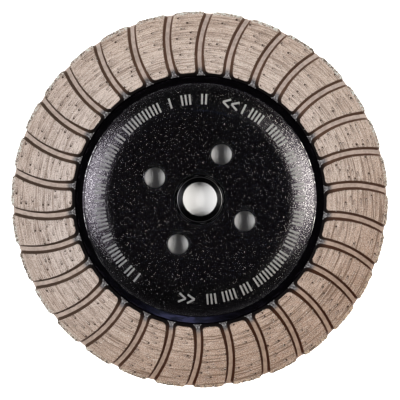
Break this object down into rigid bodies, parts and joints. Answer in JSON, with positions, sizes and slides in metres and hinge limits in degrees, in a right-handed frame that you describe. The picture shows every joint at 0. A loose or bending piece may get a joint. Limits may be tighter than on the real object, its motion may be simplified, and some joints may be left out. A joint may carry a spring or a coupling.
{
  "type": "diamond cup wheel",
  "caption": "Steel cup wheel with a ring of swept sintered diamond segments, spanner holes and a threaded bush, for grinding and trimming stone and concrete.",
  "frame": {"origin": "centre of the threaded bush's back face, where the wheel seats on the spindle's shoulder", "axes": "+Z along the wheel's axis, out of the cutting face; +X and +Y across the wheel"},
  "size_m": [0.125, 0.125, 0.022],
  "materials": {
    "black_steel": "gloss black coat over blasted steel, smooth on the turned shoulder",
    "bush_steel": "black coat, bare steel on the edges of the countersinks",
    "base_sinter": "smooth as-pressed sintered metal, dusted black beside the bore",
    "diamond_sinter": "ground sintered metal with open pits, comet tails and diamond grit"
  },
  "bodies": {
    "root": {"steel_cup": "black_steel", "threaded_bush": "bush_steel", "rim_base": "base_sinter", "segment_01": "diamond_sinter", "segment_02": "diamond_sinter", "segment_03": "diamond_sinter", "segment_04": "diamond_sinter", "segment_05": "diamond_sinter", "segment_06": "diamond_sinter", "segment_07": "diamond_sinter", "segment_08": "diamond_sinter", "segment_09": "diamond_sinter", "segment_10": "diamond_sinter", "segment_11": "diamond_sinter", "segment_12": "diamond_sinter", "segment_13": "diamond_sinter", "segment_14": "diamond_sinter", "segment_15": "diamond_sinter", "segment_16": "diamond_sinter", "segment_17": "diamond_sinter", "segment_18": "diamond_sinter", "segment_19": "diamond_sinter", "segment_20": "diamond_sinter", "segment_21": "diamond_sinter", "segment_22": "diamond_sinter", "segment_23": "diamond_sinter", "segment_24": "diamond_sinter", "segment_25": "diamond_sinter", "segment_26": "diamond_sinter", "segment_27": "diamond_sinter", "segment_28": "diamond_sinter", "segment_29": "diamond_sinter", "segment_30": "diamond_sinter"}
  },
  "joints": []
}
